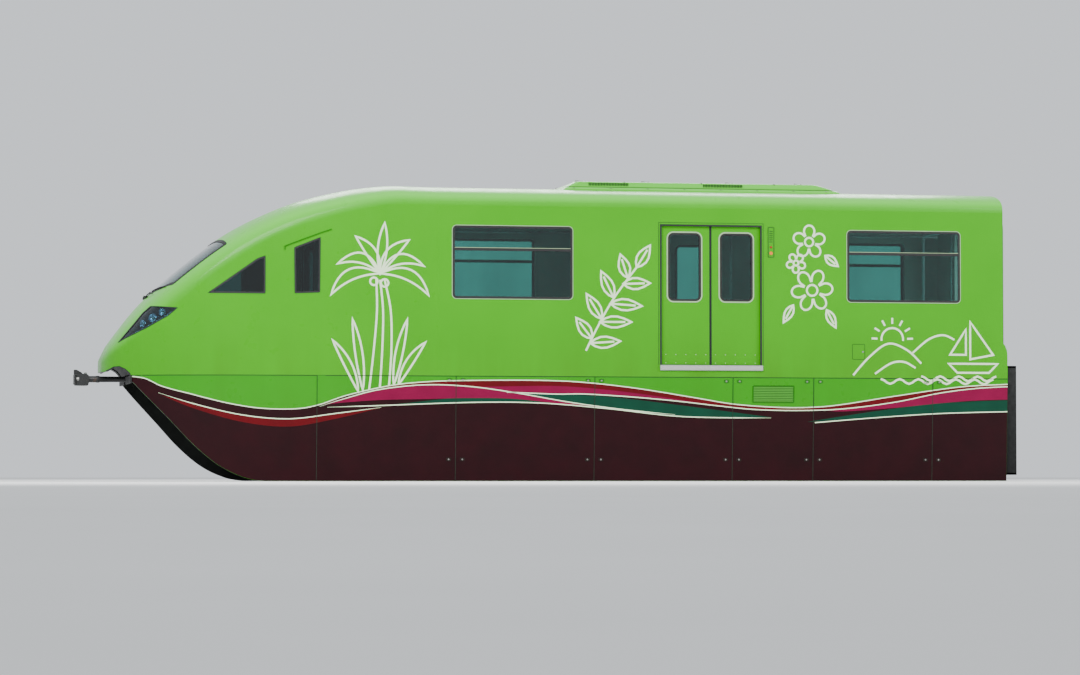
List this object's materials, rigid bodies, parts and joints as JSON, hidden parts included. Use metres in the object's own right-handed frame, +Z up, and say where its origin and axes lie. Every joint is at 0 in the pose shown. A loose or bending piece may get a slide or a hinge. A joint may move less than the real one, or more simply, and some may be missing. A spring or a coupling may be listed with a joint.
{
  "type": "straddle monorail lead car",
  "caption": "Lead car of a straddle monorail: long sloping nose, saloon windows, pocket-sliding doors, roof cooler, deep skirts, and bogies with running, guide and stabilising wheels.",
  "frame": {"origin": "top of the guideway beam, in the middle of its width, below the middle of the car", "axes": "+X towards the gangway end, the nose at -X; +Y to the car's right side; +Z up"},
  "size_m": [12.489, 2.65, 3.962],
  "materials": {
    "body_paint": "gloss",
    "skirt": "gloss",
    "glass": "tinted",
    "headlamp": "clear lens over dark reflector",
    "rubber": "matt",
    "coupler": "painted black",
    "bellows": "matt",
    "frame": "satin",
    "lining": "satin",
    "seat": "textured",
    "desk": "textured",
    "steel": "brushed"
  },
  "bodies": {
    "car_body": {"bench_front": "seat", "bench_rear": "seat", "bolster_front": "frame", "bolster_rear": "frame", "cab_partition": "lining", "cab_shell": "body_paint", "cab_window_glass_left": "glass", "cab_window_glass_right": "glass", "coupler_front": "coupler", "drawbar_rear": "coupler", "driver_desk": "desk", "driver_seat": "desk", "gangway_bellows": "bellows", "handrails": "steel", "headlamp_left": "headlamp", "headlamp_right": "headlamp", "quarter_glass_left": "glass", "quarter_glass_right": "glass", "rear_end_wall": "lining", "roof": "body_paint", "roof_air_conditioner": "body_paint", "side_wall_left": "body_paint", "side_wall_right": "body_paint", "skirt_main_left": "skirt", "skirt_main_right": "skirt", "skirt_nose_left": "skirt", "skirt_nose_right": "skirt", "underfloor_equipment": "frame", "underframe": "frame", "window_glass_front_left": "glass", "window_glass_front_right": "glass", "window_glass_rear_left": "glass", "window_glass_rear_right": "glass", "windscreen": "glass"},
    "bogie_front": {"bogie_frame_front": "frame"},
    "wheelset_front_fore": {"wheelset_front_fore": "rubber"},
    "guide_wheel_front_fore_left": {"guide_wheel_front_fore_left": "rubber"},
    "guide_wheel_front_fore_right": {"guide_wheel_front_fore_right": "rubber"},
    "wheelset_front_aft": {"wheelset_front_aft": "rubber"},
    "guide_wheel_front_aft_left": {"guide_wheel_front_aft_left": "rubber"},
    "guide_wheel_front_aft_right": {"guide_wheel_front_aft_right": "rubber"},
    "stabilising_wheel_front_left": {"stabilising_wheel_front_left": "rubber"},
    "stabilising_wheel_front_right": {"stabilising_wheel_front_right": "rubber"},
    "bogie_rear": {"bogie_frame_rear": "frame"},
    "wheelset_rear_fore": {"wheelset_rear_fore": "rubber"},
    "guide_wheel_rear_fore_left": {"guide_wheel_rear_fore_left": "rubber"},
    "guide_wheel_rear_fore_right": {"guide_wheel_rear_fore_right": "rubber"},
    "wheelset_rear_aft": {"wheelset_rear_aft": "rubber"},
    "guide_wheel_rear_aft_left": {"guide_wheel_rear_aft_left": "rubber"},
    "guide_wheel_rear_aft_right": {"guide_wheel_rear_aft_right": "rubber"},
    "stabilising_wheel_rear_left": {"stabilising_wheel_rear_left": "rubber"},
    "stabilising_wheel_rear_right": {"stabilising_wheel_rear_right": "rubber"},
    "door_leaf_fore_left": {"door_leaf_fore_left": "body_paint", "door_glass_fore_left": "glass"},
    "door_leaf_aft_left": {"door_leaf_aft_left": "body_paint", "door_glass_aft_left": "glass"},
    "door_leaf_fore_right": {"door_leaf_fore_right": "body_paint", "door_glass_fore_right": "glass"},
    "door_leaf_aft_right": {"door_leaf_aft_right": "body_paint", "door_glass_aft_right": "glass"}
  },
  "joints": [
    {"name": "bogie_front_yaw", "type": "hinge", "parent": "car_body", "child": "bogie_front", "pos_m": [-3.2, 0, 0.25], "axis": [0, 0, 1], "range_deg": [-4, 4]},
    {"name": "wheelset_front_fore_spin", "type": "hinge", "parent": "bogie_front", "child": "wheelset_front_fore", "pos_m": [-3.95, 0, 0.43], "axis": [0, 1, 0], "continuous": true},
    {"name": "guide_wheel_front_fore_left_spin", "type": "hinge", "parent": "bogie_front", "child": "guide_wheel_front_fore_left", "pos_m": [-4.2, -0.68, -0.23], "axis": [0, 0, 1], "continuous": true},
    {"name": "guide_wheel_front_fore_right_spin", "type": "hinge", "parent": "bogie_front", "child": "guide_wheel_front_fore_right", "pos_m": [-4.2, 0.68, -0.23], "axis": [0, 0, 1], "continuous": true},
    {"name": "wheelset_front_aft_spin", "type": "hinge", "parent": "bogie_front", "child": "wheelset_front_aft", "pos_m": [-2.45, 0, 0.43], "axis": [0, 1, 0], "continuous": true},
    {"name": "guide_wheel_front_aft_left_spin", "type": "hinge", "parent": "bogie_front", "child": "guide_wheel_front_aft_left", "pos_m": [-2.2, -0.68, -0.23], "axis": [0, 0, 1], "continuous": true},
    {"name": "guide_wheel_front_aft_right_spin", "type": "hinge", "parent": "bogie_front", "child": "guide_wheel_front_aft_right", "pos_m": [-2.2, 0.68, -0.23], "axis": [0, 0, 1], "continuous": true},
    {"name": "stabilising_wheel_front_left_spin", "type": "hinge", "parent": "bogie_front", "child": "stabilising_wheel_front_left", "pos_m": [-3.2, -0.68, -0.71], "axis": [0, 0, 1], "continuous": true},
    {"name": "stabilising_wheel_front_right_spin", "type": "hinge", "parent": "bogie_front", "child": "stabilising_wheel_front_right", "pos_m": [-3.2, 0.68, -0.71], "axis": [0, 0, 1], "continuous": true},
    {"name": "bogie_rear_yaw", "type": "hinge", "parent": "car_body", "child": "bogie_rear", "pos_m": [4.15, 0, 0.25], "axis": [0, 0, 1], "range_deg": [-4, 4]},
    {"name": "wheelset_rear_fore_spin", "type": "hinge", "parent": "bogie_rear", "child": "wheelset_rear_fore", "pos_m": [3.4, 0, 0.43], "axis": [0, 1, 0], "continuous": true},
    {"name": "guide_wheel_rear_fore_left_spin", "type": "hinge", "parent": "bogie_rear", "child": "guide_wheel_rear_fore_left", "pos_m": [3.15, -0.68, -0.23], "axis": [0, 0, 1], "continuous": true},
    {"name": "guide_wheel_rear_fore_right_spin", "type": "hinge", "parent": "bogie_rear", "child": "guide_wheel_rear_fore_right", "pos_m": [3.15, 0.68, -0.23], "axis": [0, 0, 1], "continuous": true},
    {"name": "wheelset_rear_aft_spin", "type": "hinge", "parent": "bogie_rear", "child": "wheelset_rear_aft", "pos_m": [4.9, 0, 0.43], "axis": [0, 1, 0], "continuous": true},
    {"name": "guide_wheel_rear_aft_left_spin", "type": "hinge", "parent": "bogie_rear", "child": "guide_wheel_rear_aft_left", "pos_m": [5.15, -0.68, -0.23], "axis": [0, 0, 1], "continuous": true},
    {"name": "guide_wheel_rear_aft_right_spin", "type": "hinge", "parent": "bogie_rear", "child": "guide_wheel_rear_aft_right", "pos_m": [5.15, 0.68, -0.23], "axis": [0, 0, 1], "continuous": true},
    {"name": "stabilising_wheel_rear_left_spin", "type": "hinge", "parent": "bogie_rear", "child": "stabilising_wheel_rear_left", "pos_m": [4.15, -0.68, -0.71], "axis": [0, 0, 1], "continuous": true},
    {"name": "stabilising_wheel_rear_right_spin", "type": "hinge", "parent": "bogie_rear", "child": "stabilising_wheel_rear_right", "pos_m": [4.15, 0.68, -0.71], "axis": [0, 0, 1], "continuous": true},
    {"name": "door_fore_left_slide", "type": "slide", "parent": "car_body", "child": "door_leaf_fore_left", "axis": [-1, 0, 0], "range_m": [0, 0.665]},
    {"name": "door_aft_left_slide", "type": "slide", "parent": "car_body", "child": "door_leaf_aft_left", "axis": [1, 0, 0], "range_m": [0, 0.665]},
    {"name": "door_fore_right_slide", "type": "slide", "parent": "car_body", "child": "door_leaf_fore_right", "axis": [-1, 0, 0], "range_m": [0, 0.665]},
    {"name": "door_aft_right_slide", "type": "slide", "parent": "car_body", "child": "door_leaf_aft_right", "axis": [1, 0, 0], "range_m": [0, 0.665]}
  ],
  "couplings": [
    {"joint": "door_aft_left_slide", "follows": "door_fore_left_slide", "ratio": 1},
    {"joint": "door_aft_right_slide", "follows": "door_fore_right_slide", "ratio": 1}
  ]
}
